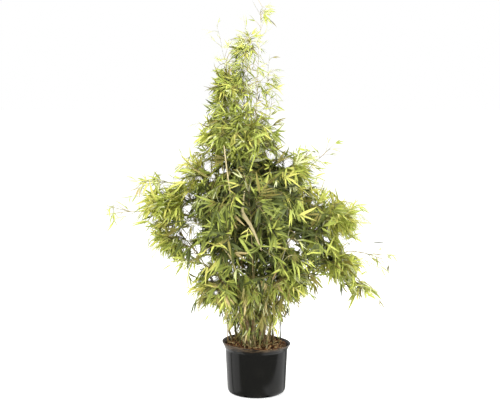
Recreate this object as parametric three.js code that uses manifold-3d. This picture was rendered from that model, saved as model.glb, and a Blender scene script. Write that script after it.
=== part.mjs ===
// Clump-forming bamboo in a round plastic nursery pot. Millimetres, +Z up.
// The origin is the centre of the pot's flat underside. The front of the plant faces -Y.
//
// Thin stems fan out of the soil. The middle ones stand in a narrow spire, and the outer ones arch
// over to the sides. They run whole through the foliage, which is made as separate uneven masses
// with the stems' paths cut out of them.
import * as THREE from 'three';
import { mergeVertices } from 'three/addons/utils/BufferGeometryUtils.js';
import Module from 'manifold-3d';

const wasm = await Module();
wasm.setup();

// ---- driving dimensions ----

const pot = {
  height: 205,
  rimRadius: 140,
  lipHeight: 24,
  lipEdge: 4,
  bodyTopRadius: 127,
  bodyFootRadius: 119,
  cornerRadius: 20,
  wall: 3,
  segments: 32,
  cornerSteps: 3,
};

const drain = { count: 8, width: 16, height: 7, depth: 24 };

const soil = {
  level: pot.height - 8, // the flat top that the stems stand on
  shoulder: 9, // how far the edge falls away at the wall
  flatRadius: 116,
  segments: 32,
};

const stem = { sides: 5, steps: 6, footFlare: 0.22, flareLength: 60, tipRadius: 0.9 };
const path = { sides: 3, gap: 0.9 }; // the hole round a stem through the foliage, and its least clearance

const gap = 0.4; // between the soil and what it meets
const massGap = 1.8; // how much larger a mass is when it is taken out of its neighbour
const smoothing = 0.8; // how far a cut mass may be simplified, less than the gaps

// ---- colours ----

const paint = (hex, roughness) => new THREE.MeshStandardMaterial({ color: hex, roughness, metalness: 0 });
const finishes = {
  pot: paint(0x2b2b28, 0.4),
  soil: paint(0x5c4128, 0.95),
  stem: paint(0x9a9a52, 0.5),
  foliage: paint(0x93a43c, 0.6),
};

// ---- the stems: where each stands in the soil, and where its tip comes to ----
// foot is [x, y] on the soil and tip is [x, y, z]. rise is how far up the stem stays nearly upright,
// and droop is how far its bend stands over the tip, both as shares of its height over the soil.

const spire = { rise: 0.45, droop: 0 };
const shoulder = { rise: 0.5, droop: 0.04 };
const arch = { rise: 0.58, droop: 0.16 };
const lowArch = { rise: 0.8, droop: 0.35 };
const hangingArch = { rise: 1.2, droop: 0.7 };

const stems = [
  { name: 'stem_spire_leader', foot: [-17, -17], tip: [22, 5, 1558], radius: 5, ...spire },
  { name: 'stem_spire_front', foot: [-26, -37], tip: [-45, -30, 1495], radius: 4.6, ...spire },
  { name: 'stem_spire_back', foot: [-31, 27], tip: [-62, 48, 1430], radius: 4.4, ...spire },
  { name: 'stem_wisp_left', foot: [-48, -6], tip: [-158, 5, 1490], radius: 3.8, ...spire },
  { name: 'stem_wisp_right', foot: [20, 14], tip: [52, 28, 1372], radius: 3.6, ...spire },
  { name: 'stem_rear_left', foot: [-17, 48], tip: [-132, 95, 1245], radius: 4, ...spire },
  { name: 'stem_rear_right', foot: [9, 41], tip: [62, 92, 1190], radius: 3.8, ...spire },
  { name: 'stem_shoulder_left', foot: [-53, -31], tip: [-296, -58, 965], radius: 4.2, ...shoulder },
  { name: 'stem_shoulder_right', foot: [29, -23], tip: [216, -48, 1000], radius: 4.2, ...shoulder },
  { name: 'stem_shoulder_outer', foot: [64, 26], tip: [315, 45, 1010], radius: 3.2, ...shoulder },
  { name: 'stem_shoulder_back', foot: [-5, 69], tip: [45, 300, 960], radius: 4, ...shoulder },
  { name: 'stem_shoulder_front', foot: [-7, -58], tip: [-48, -290, 920], radius: 4.2, ...shoulder },
  { name: 'stem_arch_left_high', foot: [-78, -9], tip: [-468, -22, 858], radius: 3.6, ...arch },
  { name: 'stem_arch_left_far', foot: [-98, 24], tip: [-606, 30, 728], radius: 3.4, ...arch },
  { name: 'stem_arch_left_low', foot: [-44, -66], tip: [-330, -140, 560], radius: 3.4, ...arch },
  { name: 'stem_arch_right_high', foot: [49, 9], tip: [425, 0, 705], radius: 3.4, ...arch },
  { name: 'stem_arch_right_far', foot: [40, 48], tip: [562, 50, 520], radius: 3.4, ...lowArch },
  { name: 'stem_arch_right_low', foot: [36, -51], tip: [496, -70, 415], radius: 3.4, ...hangingArch },
  { name: 'stem_arch_front_left', foot: [-27, -76], tip: [-195, -345, 640], radius: 3.4, ...arch },
  { name: 'stem_arch_front_right', foot: [10, -73], tip: [185, -340, 600], radius: 3.4, ...arch },
  { name: 'stem_arch_back_left', foot: [-47, 67], tip: [-215, 345, 690], radius: 3.4, ...arch },
  { name: 'stem_arch_back_right', foot: [24, 70], tip: [215, 350, 660], radius: 3.4, ...arch },
];

// ---- the foliage: the middle, half size and tilt (degrees, in the front view) of each mass ----
// lumps is how uneven it is, as a share of its size. A mass is cut by those listed before it.

const masses = [
  { name: 'foliage_tip', at: [18, 2, 1528], half: [30, 28, 48], tilt: 8, lumps: 0.14 },
  { name: 'foliage_wisp_left', at: [-146, 4, 1345], half: [38, 34, 88], tilt: -8, lumps: 0.18 },
  { name: 'foliage_wisp_right', at: [48, 24, 1246], half: [32, 36, 86], tilt: -3, lumps: 0.18 },
  { name: 'foliage_spire_top', at: [-38, 0, 1390], half: [60, 56, 108], tilt: 13, lumps: 0.2 },
  { name: 'foliage_spire_middle', at: [-84, 6, 1218], half: [108, 112, 116], tilt: 8, lumps: 0.2 },
  { name: 'foliage_spire_foot', at: [-70, 8, 1044], half: [184, 205, 132], tilt: 6, lumps: 0.2 },
  { name: 'foliage_left_arm', at: [-408, -16, 852], half: [72, 44, 26], tilt: -4, lumps: 0.16 },
  { name: 'foliage_right_arm', at: [392, -44, 430], half: [86, 62, 38], tilt: 10, lumps: 0.16 },
  { name: 'foliage_shoulder_left', at: [-214, -20, 888], half: [108, 140, 88], tilt: -22, lumps: 0.2 },
  { name: 'foliage_shoulder_right', at: [134, -6, 900], half: [98, 150, 106], tilt: 20, lumps: 0.2 },
  { name: 'foliage_left_high', at: [-318, -10, 762], half: [142, 122, 84], tilt: -6, lumps: 0.2 },
  { name: 'foliage_right_high', at: [298, 4, 704], half: [146, 136, 108], tilt: 28, lumps: 0.2 },
  { name: 'foliage_front', at: [-10, -248, 700], half: [200, 128, 200], tilt: 6, lumps: 0.22 },
  { name: 'foliage_back', at: [8, 255, 710], half: [205, 130, 205], tilt: -6, lumps: 0.22 },
  { name: 'foliage_heart', at: [-8, 0, 765], half: [226, 205, 245], tilt: 0, lumps: 0.14 },
  { name: 'foliage_left_low', at: [-292, 0, 608], half: [164, 140, 86], tilt: 36, lumps: 0.2 },
  { name: 'foliage_right_low', at: [300, -4, 530], half: [136, 140, 98], tilt: 10, lumps: 0.2 },
  { name: 'foliage_skirt_left', at: [-128, 0, 436], half: [126, 195, 128], tilt: 32, lumps: 0.18 },
  { name: 'foliage_skirt_right', at: [106, 0, 448], half: [116, 195, 122], tilt: -32, lumps: 0.18 },
  { name: 'foliage_far_left', at: [-560, 28, 742], half: [52, 26, 30], tilt: 16, lumps: 0.16 },
  { name: 'foliage_far_right', at: [536, 48, 545], half: [44, 26, 32], tilt: 40, lumps: 0.16 },
];

const fineMass = 90; // a mass with no half size over this is made of fewer faces
const waves = { count: 5, slowest: 1.6, fastest: 3.4 };

// ---- helpers ----

// A small repeatable random source, so that each mass keeps its own shape from run to run.
function seeded(seed) {
  let state = seed * 2654435761;
  return () => {
    state = (Math.imul(state ^ (state >>> 15), 2246822519) + 374761393) >>> 0;
    return state / 4294967296;
  };
}

const place = (geometry) => geometry.rotateX(Math.PI / 2); // three.js turns shapes round Y, and the part stands on Z

// A closed geometry as a manifold-3d solid.
function solidOf(geometry) {
  const bare = geometry.clone();
  bare.deleteAttribute('normal');
  bare.deleteAttribute('uv');
  const merged = mergeVertices(bare, 1e-3);
  const mesh = new wasm.Mesh({
    numProp: 3,
    vertProperties: new Float32Array(merged.attributes.position.array),
    triVerts: new Uint32Array(merged.index.array),
  });
  return new wasm.Manifold(mesh);
}

// The largest single body of a solid, as a geometry.
function geometryOf(solid) {
  const bodies = solid.decompose().sort((a, b) => b.volume() - a.volume());
  const mesh = bodies[0].getMesh();
  const geometry = new THREE.BufferGeometry();
  geometry.setAttribute('position', new THREE.BufferAttribute(new Float32Array(mesh.vertProperties), 3));
  geometry.setIndex(new THREE.BufferAttribute(new Uint32Array(mesh.triVerts), 1));
  geometry.computeVertexNormals();
  return geometry;
}

const named = (name, geometry, material) => {
  const mesh = new THREE.Mesh(geometry, material);
  mesh.name = name;
  return mesh;
};

// ---- pot ----

// The pot's half section, from the middle of the underside round the lip to the middle of the floor.
function potProfile(p) {
  const points = [new THREE.Vector2(0, 0)];
  const inner = [];
  for (let i = 0; i <= p.cornerSteps; i++) {
    const turn = (i / p.cornerSteps) * (Math.PI / 2);
    const out = p.bodyFootRadius - p.cornerRadius + p.cornerRadius * Math.sin(turn);
    points.push(new THREE.Vector2(out, p.cornerRadius * (1 - Math.cos(turn))));
    const insideRadius = p.cornerRadius - p.wall;
    const inside = p.bodyFootRadius - p.cornerRadius + insideRadius * Math.sin(turn);
    inner.unshift(new THREE.Vector2(inside, p.cornerRadius - insideRadius * Math.cos(turn)));
  }
  const lipFoot = p.height - p.lipHeight;
  points.push(new THREE.Vector2(p.bodyTopRadius, lipFoot));
  points.push(new THREE.Vector2(p.rimRadius, p.height - p.lipEdge));
  points.push(new THREE.Vector2(p.rimRadius - 1, p.height));
  points.push(new THREE.Vector2(p.rimRadius - p.wall - 1, p.height));
  points.push(new THREE.Vector2(p.bodyTopRadius - p.wall, lipFoot + p.wall / 2));
  points.push(...inner);
  points.push(new THREE.Vector2(0, p.wall));
  return points;
}

// Drain slots, cut through the rounded foot of the wall all the way round.
function drainCutter(p, d) {
  let cutter = null;
  for (let i = 0; i < d.count; i++) {
    const slot = new THREE.BoxGeometry(d.depth, d.width, d.height);
    slot.translate(p.bodyFootRadius - 2, 0, p.wall + d.height / 2 + 2);
    slot.rotateZ(((i + 0.5) / d.count) * Math.PI * 2);
    const solid = solidOf(slot);
    cutter = cutter ? cutter.add(solid) : solid;
  }
  return cutter;
}

function makePot() {
  const turned = place(new THREE.LatheGeometry(potProfile(pot), pot.segments));
  return solidOf(turned).subtract(drainCutter(pot, drain));
}

// ---- soil ----

// The root ball's soil fills the pot to a little under the rim, and falls away at the wall.
function makeSoil(potSolid) {
  const lipFoot = pot.height - pot.lipHeight;
  const clear = pot.wall + gap;
  const edgeLevel = soil.level - soil.shoulder;
  const flare = (pot.rimRadius - pot.bodyTopRadius) / (pot.lipHeight - pot.lipEdge);
  const edgeRadius = pot.bodyTopRadius - clear - 1 + flare * Math.max(0, edgeLevel - lipFoot - pot.wall);
  const cornerFoot = pot.bodyFootRadius - pot.cornerRadius;
  const points = [
    new THREE.Vector2(0, clear),
    new THREE.Vector2(cornerFoot, clear),
    new THREE.Vector2(pot.bodyFootRadius - clear - 6, clear + 6),
    new THREE.Vector2(pot.bodyFootRadius - clear - 0.5, pot.cornerRadius + 2),
    new THREE.Vector2(pot.bodyTopRadius - clear - 0.5, lipFoot),
    new THREE.Vector2(edgeRadius, edgeLevel),
    new THREE.Vector2(soil.flatRadius, soil.level),
    new THREE.Vector2(0, soil.level),
  ];
  const turned = place(new THREE.LatheGeometry(points, soil.segments));
  return solidOf(turned).subtract(potSolid);
}

// ---- stems ----

function stemCurve(s) {
  const ground = soil.level + gap;
  const height = s.tip[2] - ground;
  const foot = new THREE.Vector3(s.foot[0], s.foot[1], ground);
  const tip = new THREE.Vector3(...s.tip);
  const along = (share, lift) =>
    new THREE.Vector3(
      foot.x + (tip.x - foot.x) * share,
      foot.y + (tip.y - foot.y) * share,
      ground + height * lift,
    );
  return new THREE.CubicBezierCurve3(foot, along(0.1, s.rise), along(0.5, 0.92 + s.droop * 1.6), tip);
}

// A tapering, closed stem along a curve, with a level cut at the soil. With a clearance it is the cutter
// for its path, whose flat sides stand that far off the stem.
function limb(s, sides = stem.sides, clearance = 0) {
  const curve = stemCurve(s);
  const frames = curve.computeFrenetFrames(stem.steps, false);
  const length = curve.getLength();
  const widen = clearance > 0 ? 1 / Math.cos(Math.PI / sides) : 1;
  const geometry = new THREE.CylinderGeometry(1, 1, 1, sides, stem.steps);
  const position = geometry.attributes.position;
  const point = new THREE.Vector3();
  for (let i = 0; i < position.count; i++) {
    const share = position.getY(i) + 0.5;
    const ring = Math.round(share * stem.steps);
    const flare = 1 + stem.footFlare * Math.exp((-share * length) / stem.flareLength);
    const radius = (THREE.MathUtils.lerp(s.radius, stem.tipRadius, share) * flare + clearance) * widen;
    curve.getPointAt(ring / stem.steps, point);
    point.addScaledVector(frames.binormals[ring], position.getX(i) * radius);
    point.addScaledVector(frames.normals[ring], position.getZ(i) * radius);
    if (ring === 0) point.z = soil.level + gap - clearance;
    position.setXYZ(i, point.x, point.y, point.z);
  }
  return geometry;
}

// ---- foliage ----

// An uneven rounded mass: a sphere pushed in and out by a few slow waves, then sized, tilted and placed.
function massGeometry(m, seed, grow = 0) {
  const random = seeded(seed);
  const ripples = Array.from({ length: waves.count }, () => ({
    way: new THREE.Vector3(random() - 0.5, random() - 0.5, random() - 0.5).normalize(),
    speed: THREE.MathUtils.lerp(waves.slowest, waves.fastest, random()) * 2,
    start: random() * Math.PI * 2,
  }));
  const geometry = new THREE.IcosahedronGeometry(1, Math.max(...m.half) > fineMass ? 2 : 1);
  const position = geometry.attributes.position;
  const way = new THREE.Vector3();
  for (let i = 0; i < position.count; i++) {
    way.fromBufferAttribute(position, i).normalize();
    const push = ripples.reduce((sum, r) => sum + Math.sin(way.dot(r.way) * r.speed + r.start), 0);
    const swell = 1 + (m.lumps * push) / Math.sqrt(waves.count * 2);
    position.setXYZ(
      i,
      way.x * (m.half[0] * swell + grow),
      way.y * (m.half[1] * swell + grow),
      way.z * (m.half[2] * swell + grow),
    );
  }
  geometry.rotateY(THREE.MathUtils.degToRad(m.tilt));
  return geometry.translate(...m.at);
}

// Each mass less the masses before it and the stems that run through it.
function makeFoliage(list, stemList) {
  let paths = null;
  for (const s of stemList) {
    const hole = solidOf(limb(s, path.sides, path.gap));
    paths = paths ? paths.add(hole) : hole;
  }
  let taken = null;
  return list.map((m, i) => {
    const whole = solidOf(massGeometry(m, i + 1));
    const open = taken ? whole.subtract(taken) : whole;
    const grown = solidOf(massGeometry(m, i + 1, massGap));
    taken = taken ? taken.add(grown) : grown;
    return named(m.name, geometryOf(open.subtract(paths).simplify(smoothing)), finishes.foliage);
  });
}

// ---- assembly ----

const bamboo = new THREE.Group();
const potSolid = makePot();
bamboo.add(named('pot', geometryOf(potSolid), finishes.pot));
bamboo.add(named('soil', geometryOf(makeSoil(potSolid)), finishes.soil));
for (const s of stems) bamboo.add(named(s.name, limb(s), finishes.stem));
for (const mass of makeFoliage(masses, stems)) bamboo.add(mass);

export default bamboo;
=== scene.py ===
# Clump-forming bamboo in a nursery pot: the looks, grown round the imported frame. Metres, +Z up.
import math

import bmesh
import bpy
import numpy as np
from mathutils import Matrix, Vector, noise
from mathutils.bvhtree import BVHTree


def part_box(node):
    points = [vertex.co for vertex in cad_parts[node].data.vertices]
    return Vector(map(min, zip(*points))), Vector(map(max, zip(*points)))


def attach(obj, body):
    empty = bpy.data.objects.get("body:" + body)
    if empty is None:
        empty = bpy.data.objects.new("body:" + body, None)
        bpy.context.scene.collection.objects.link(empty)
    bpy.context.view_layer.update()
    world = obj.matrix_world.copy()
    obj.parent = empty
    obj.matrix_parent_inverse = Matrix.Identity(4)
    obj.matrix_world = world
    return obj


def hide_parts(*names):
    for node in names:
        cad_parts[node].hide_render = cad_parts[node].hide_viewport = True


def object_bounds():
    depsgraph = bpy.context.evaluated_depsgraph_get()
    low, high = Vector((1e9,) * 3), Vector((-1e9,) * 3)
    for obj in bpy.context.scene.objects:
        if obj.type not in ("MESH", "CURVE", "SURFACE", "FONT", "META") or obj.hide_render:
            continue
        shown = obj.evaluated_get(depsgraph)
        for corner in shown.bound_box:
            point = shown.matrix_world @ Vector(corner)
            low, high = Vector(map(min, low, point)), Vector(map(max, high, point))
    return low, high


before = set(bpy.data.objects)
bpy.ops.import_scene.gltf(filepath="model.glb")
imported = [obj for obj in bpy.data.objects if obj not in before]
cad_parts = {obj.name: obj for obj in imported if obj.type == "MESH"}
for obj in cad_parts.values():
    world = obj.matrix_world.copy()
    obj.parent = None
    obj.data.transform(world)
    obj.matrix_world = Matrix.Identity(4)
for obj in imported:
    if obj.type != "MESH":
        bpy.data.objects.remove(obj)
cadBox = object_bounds()
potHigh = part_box("pot")[1]
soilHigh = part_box("soil")[1]
plantHeight = cadBox[1].z
rimRadius = potHigh.x
soilLevel = soilHigh.z
nodeNames = sorted(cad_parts)
stemNames = [n for n in nodeNames if n.startswith("stem_")]
massNames = [n.removeprefix("foliage_") for n in nodeNames if n.startswith("foliage_")]

# camera, floor and light

view = {
    "distance": 4.2,
    "height": 1.23,
    "across": -0.026,
    "aim": 0.79,
    "lens": 75.4,
    "sensor": 36.0,
}
studio = {
    "floor": 120.0,
    "floorTone": (228, 228, 226),
    "floorGlow": 0.62,
    "skyTop": 0.8,
    "skyLow": 0.3,
    "backdrop": 1.0,
    "lamps": [
        # name, place, aimed at, width, height, power
        ("lamp_key", (-2.3, -2.9, 3.4), (0, 0, 0.8), 1.8, 1.8, 120),
        ("lamp_top", (0.3, -0.4, 4.2), (0, 0, 0.8), 2.6, 2.6, 95),
        ("lamp_left", (-2.6, -1.1, 0.9), (0, 0, 0.5), 0.5, 2.4, 26),
        ("lamp_right", (2.7, -1.9, 0.9), (0, 0, 0.4), 1.5, 1.9, 64),
        ("lamp_back", (1.4, 3.2, 2.6), (0, 0, 0.9), 2.2, 2.2, 70),
    ],
}


room = {
    # painted reflection: what shiny things see in place of the floor, how bright it is in front and at the
    # two painted walls
    "front": 0.25,
    "leftReflection": 0.85,
    "rightReflection": 1.3,
    "crease": 0.95,  # how dark the painted dark edge in the left painted wall is
    # lines across the floor: slope, then y - slope * x where one side ends and where the other begins
    "lines": {
        "left": (0.36, -0.11, -0.06),
        "creaseFrom": (-0.29, -0.115, -0.1),
        "creaseTo": (-0.445, -0.125, -0.115),
        "right": (0.2, -0.27, -0.16),
        "behind": (0.96, -0.17, -0.13),
    },
    "leftFrom": (0.10, 0.14),  # how far to the side each painted wall begins
    "rightFrom": (0.05, 0.1),
}


def aimAt(thing, target):
    way = Vector(target) - thing.location
    thing.rotation_euler = way.to_track_quat("-Z", "Y").to_euler()


def makeCamera(v):
    bpy.ops.object.camera_add(location=(v["across"], -v["distance"], v["height"]))
    camera = bpy.context.object
    camera.name = "camera"
    camera.data.lens = v["lens"]
    camera.data.sensor_width = v["sensor"]
    aimAt(camera, (v["across"], 0, v["aim"]))
    bpy.context.scene.camera = camera


def floorFinish(s, room):
    # White paper. Shiny things see a painted reflection in it: a dark room in front, bright walls
    # at the sides and a dark edge to the left, which glow for glossy rays only.
    paper = Finish("floor_paper", roughness=0.9, specular=0.1)
    paper.colour(sRgb(*s["floorTone"]))
    paper.shader.inputs["Emission Color"].default_value = (1, 1, 1, 1)
    paper.shader.inputs["Emission Strength"].default_value = s["floorGlow"]
    place = paper.place()
    x, y = (paper.node("ShaderNodeSeparateXYZ", {}, {0: place}, axis) for axis in (0, 1))

    def past(line):
        slope, low, high = room["lines"][line]
        return paper.band(y - slope * x, low, high)

    # painted dark edge in the reflection of the left painted wall
    crease = past("creaseFrom") * (1 - past("creaseTo")) * room["crease"]
    left = past("left") * paper.band(0 - x, *room["leftFrom"]) * (1 - crease)
    right = past("right") * paper.band(x, *room["rightFrom"]) * (1 - past("behind"))
    paintedReflection = room["front"] + left * room["leftReflection"] + right * room["rightReflection"]
    light = paper.node("ShaderNodeEmission", {}, {"Color": paper.blend(paintedReflection, (0, 0, 0, 1), (1, 1, 1, 1))})
    # painted reflection: glossy rays see this glow, all other rays see the plain paper
    shiny = paper.node("ShaderNodeLightPath", {}, {}, "Is Glossy Ray")
    plain = Wire(paper, paper.shader.outputs[0])
    both = paper.node("ShaderNodeMixShader", {}, {0: shiny, 1: plain, 2: light})
    paper.tree.links.new(both.socket, paper.tree.nodes["Material Output"].inputs["Surface"])
    return paper.material


def makeStudio(s, room):
    bpy.ops.mesh.primitive_plane_add(size=s["floor"], location=(0, 0, 0))
    floor = bpy.context.object
    floor.name = "floor"
    floor.data.materials.append(floorFinish(s, room))
    for name, place, target, width, height, power in s["lamps"]:
        bpy.ops.object.light_add(type="AREA", location=place)
        lamp = bpy.context.object
        lamp.name = name
        lamp.data.shape = "RECTANGLE"
        lamp.data.size = width
        lamp.data.size_y = height
        lamp.data.energy = power
        lamp.visible_camera = False
        aimAt(lamp, target)
    world = bpy.data.worlds.new("studio")
    world.use_nodes = True
    bpy.context.scene.world = world
    sky = Nodes(world.node_tree)
    up = sky.node("ShaderNodeSeparateXYZ", {}, {0: sky.node("ShaderNodeTexCoord", {}, {}, "Generated")}, 2)
    strength = s["skyLow"] + (s["skyTop"] - s["skyLow"]) * sky.band(up, 0.0, 0.8)
    light = sky.node("ShaderNodeBackground", {}, {"Color": (1, 1, 1, 1), "Strength": strength})
    seen = sky.node("ShaderNodeBackground", {}, {"Color": (1, 1, 1, 1), "Strength": s["backdrop"]})
    direct = sky.node("ShaderNodeLightPath", {}, {}, "Is Camera Ray")
    both = sky.node("ShaderNodeMixShader", {}, {0: direct, 1: light, 2: seen})
    sky.tree.links.new(both.socket, world.node_tree.nodes["World Output"].inputs["Surface"])
    bpy.context.scene.view_settings.view_transform = "Standard"


# shading

def sRgb(red, green, blue):
    # A colour as seen on a screen, 0 to 255, as the linear colour that a shader takes.
    def linear(c):
        c = c / 255
        return c / 12.92 if c <= 0.04045 else ((c + 0.055) / 1.055) ** 2.4

    return (linear(red), linear(green), linear(blue), 1.0)


class Wire:
    # One output socket, so that numbers that change over a surface are worked out as plain sums.
    def __init__(self, nodes, socket):
        self.nodes = nodes
        self.socket = socket

    def maths(self, operation, first, second):
        return self.nodes.node("ShaderNodeMath", {"operation": operation}, {0: first, 1: second})

    def __add__(self, other):
        return self.maths("ADD", self, other)

    __radd__ = __add__

    def __sub__(self, other):
        return self.maths("SUBTRACT", self, other)

    def __rsub__(self, other):
        return self.maths("SUBTRACT", other, self)

    def __mul__(self, other):
        return self.maths("MULTIPLY", self, other)

    __rmul__ = __mul__


class Nodes:
    # A node tree, whose nodes are added one at a time.
    def __init__(self, tree):
        self.tree = tree

    def node(self, kind, settings, sockets, output=0):
        made = self.tree.nodes.new(kind)
        for name, value in settings.items():
            if name == "stops":
                ramp = made.color_ramp
                while len(ramp.elements) < len(value):
                    ramp.elements.new(0.5)
                for element, (place, tone) in zip(ramp.elements, value):
                    element.position = place
                    element.color = tone
            else:
                setattr(made, name, value)
        for name, value in sockets.items():
            if isinstance(value, Wire):
                self.tree.links.new(value.socket, made.inputs[name])
            else:
                made.inputs[name].default_value = value
        return Wire(self, made.outputs[output])

    def band(self, wire, low, high):
        # 0 below low, 1 above high.
        sockets = {"Value": wire, "From Min": low, "From Max": high}
        return self.node("ShaderNodeMapRange", {"clamp": True}, sockets)


class Finish(Nodes):
    # One material: its fixed values, and the nodes for what changes over the surface.
    def __init__(self, name, roughness=0.5, specular=0.5, sheen=0.0):
        self.material = bpy.data.materials.new(name)
        self.material.use_nodes = True
        super().__init__(self.material.node_tree)
        self.shader = self.tree.nodes["Principled BSDF"]
        self.shader.inputs["Roughness"].default_value = roughness
        self.shader.inputs["Specular IOR Level"].default_value = specular
        self.shader.inputs["Sheen Weight"].default_value = sheen

    def colour(self, value):
        self.shader.inputs["Base Color"].default_value = value
        self.material.diffuse_color = value

    def feed(self, socket, wire):
        self.tree.links.new(wire.socket, self.shader.inputs[socket])

    def place(self):
        return self.node("ShaderNodeTexCoord", {}, {}, "Object")

    def grain(self, scale, detail=3.0, place=None, stretch=None):
        at = place or self.place()
        if stretch:
            at = self.node("ShaderNodeMapping", {}, {"Vector": at, "Scale": stretch})
        sockets = {"Vector": at, "Scale": scale, "Detail": detail}
        return self.node("ShaderNodeTexNoise", {}, sockets, "Fac")

    def blend(self, share, first, second):
        return self.node("ShaderNodeMix", {"data_type": "RGBA"}, {0: share, 6: first, 7: second}, 2)

    def steps(self, wire, stops):
        return self.node("ShaderNodeValToRGB", {"stops": stops}, {"Fac": wire})

    def bump(self, height, strength, distance):
        sockets = {"Height": height, "Strength": strength, "Distance": distance}
        self.feed("Normal", self.node("ShaderNodeBump", {}, sockets))


# modelling helpers

def deselectAll():
    if bpy.context.object and bpy.context.object.mode != "OBJECT":
        bpy.ops.object.mode_set(mode="OBJECT")
    bpy.ops.object.select_all(action="DESELECT")


def activate(piece):
    deselectAll()
    piece.select_set(True)
    bpy.context.view_layer.objects.active = piece


def editStart(name):
    # The primitive that was just added, named and opened for editing with nothing selected.
    piece = bpy.context.object
    piece.name = name
    bpy.ops.object.mode_set(mode="EDIT")
    bpy.ops.mesh.select_all(action="DESELECT")
    return piece


def pick(test):
    # Selects the vertices that pass the test, and what they make up.
    bpy.ops.mesh.select_mode(type="VERT")
    bpy.ops.mesh.select_all(action="DESELECT")
    edit = bmesh.from_edit_mesh(bpy.context.object.data)
    for v in edit.verts:
        if test(v.co):
            v.select_set(True)
    edit.select_flush_mode()
    bmesh.update_edit_mesh(bpy.context.object.data)


def editEnd(merge=1e-6):
    bpy.ops.mesh.select_all(action="SELECT")
    bpy.ops.mesh.remove_doubles(threshold=merge)
    bpy.ops.mesh.normals_make_consistent(inside=False)
    bpy.ops.object.mode_set(mode="OBJECT")


def ringTo(height, radius, state):
    # Extrudes the selected rim of the mesh to a new height and radius.
    bpy.ops.mesh.extrude_region_move(TRANSFORM_OT_translate={"value": (0, 0, height - state["height"])})
    grow = radius / state["radius"]
    bpy.ops.transform.resize(value=(grow, grow, 1), center_override=(0, 0, height))
    state["height"], state["radius"] = height, radius


def ringTube(name, shape):
    # An open tube through the shape's rings, left in edit mode.
    height, radius = shape["rings"][0]
    deselectAll()
    bpy.ops.mesh.primitive_circle_add(vertices=shape["sides"], radius=radius, fill_type="NOTHING")
    tube = editStart(name)
    bpy.ops.mesh.select_all(action="SELECT")
    state = {"height": height, "radius": radius}
    for level, size in shape["rings"][1:]:
        ringTo(level, size, state)
    return tube


def applyModifiers(piece):
    for modifier in list(piece.modifiers):
        bpy.ops.object.modifier_apply(modifier=modifier.name)


def meshAsArrays(piece):
    # The vertices, the corners of all faces in a row, and how many corners each face has.
    mesh = piece.data
    points = np.zeros(len(mesh.vertices) * 3)
    mesh.vertices.foreach_get("co", points)
    corners = np.zeros(len(mesh.loops), int)
    mesh.loops.foreach_get("vertex_index", corners)
    counts = np.zeros(len(mesh.polygons), int)
    mesh.polygons.foreach_get("loop_total", counts)
    return points.reshape(-1, 3), corners, counts


def takeTemplate(piece):
    # A template's arrays. The template itself is not a piece, so it is removed.
    arrays = meshAsArrays(piece)
    bpy.data.objects.remove(piece)
    return arrays


def pieceFromArrays(name, points, corners, counts, materials, deal=None, smooth=True):
    mesh = bpy.data.meshes.new(name)
    mesh.vertices.add(len(points))
    mesh.vertices.foreach_set("co", np.asarray(points, np.float32).ravel())
    mesh.loops.add(len(corners))
    mesh.loops.foreach_set("vertex_index", np.asarray(corners, np.int32))
    mesh.polygons.add(len(counts))
    starts = np.concatenate([[0], np.cumsum(counts)[:-1]])
    mesh.polygons.foreach_set("loop_start", starts.astype(np.int32))
    if deal is not None:
        mesh.polygons.foreach_set("material_index", np.asarray(deal, np.int32))
    mesh.update(calc_edges=True)
    mesh.validate()
    if smooth:
        mesh.shade_smooth()
    for material in materials:
        mesh.materials.append(material)
    piece = bpy.data.objects.new(name, mesh)
    bpy.context.scene.collection.objects.link(piece)
    return piece


def copies(template, points):
    # The arrays of many copies of a template, whose points are given copy by copy.
    _, corners, counts = template
    many, each = points.shape[0], points.shape[1]
    allCorners = (corners[None, :] + np.arange(many)[:, None] * each).ravel()
    return points.reshape(-1, 3), allCorners, np.tile(counts, many)


def joined(groups):
    # Several groups of arrays as one.
    points, corners, counts, start = [], [], [], 0
    for p, c, n in groups:
        points.append(p)
        corners.append(c + start)
        counts.append(n)
        start += len(p)
    return np.concatenate(points), np.concatenate(corners), np.concatenate(counts)


def unit(v):
    return v / np.maximum(np.linalg.norm(v, axis=-1, keepdims=True), 1e-9)


def dot(a, b):
    return (a * b).sum(-1, keepdims=True)


def handOver(piece, slotName, *replaced):
    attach(piece, "root")
    if replaced:
        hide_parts(*replaced)


# materials

def culmFinish(name, skin, young, bloom, node):
    # v counts internodes along the culm, so its fraction says how far it is from one joint to the next.
    finish = Finish(name, roughness=0.42, specular=0.45)
    uv = finish.node("ShaderNodeUVMap", {"uv_map": "culm"}, {})
    split = finish.node("ShaderNodeSeparateXYZ", {}, {0: uv}, 1)
    along = finish.node("ShaderNodeMath", {"operation": "FRACT"}, {0: split})
    streak = finish.grain(26.0, 4.0, uv, (3.0, 0.35, 1.0))
    mottle = finish.grain(55.0, 3.0)
    pale = finish.band(along, 0.55, 0.96) * finish.band(mottle + 0.4 * streak, 0.5, 0.85)
    height = finish.node("ShaderNodeSeparateXYZ", {}, {0: finish.place()}, 2)
    old = finish.blend(streak, skin, [c * 0.72 for c in skin[:3]] + [1.0])
    tone = finish.blend(pale * 0.7, finish.blend(finish.band(height, 0.9, 1.5) * 0.6, old, young), bloom)
    tone = finish.blend((1 - finish.band(height, 0.2, 0.36)) * 0.45, tone, sRgb(92, 76, 42))
    joint = 1 - finish.band(along, 0.0, 0.05)
    finish.feed("Base Color", finish.blend(joint, tone, node))
    finish.feed("Roughness", 0.34 + 0.22 * mottle)
    finish.bump(streak, 0.25, 0.0006)
    return finish.material


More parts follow.
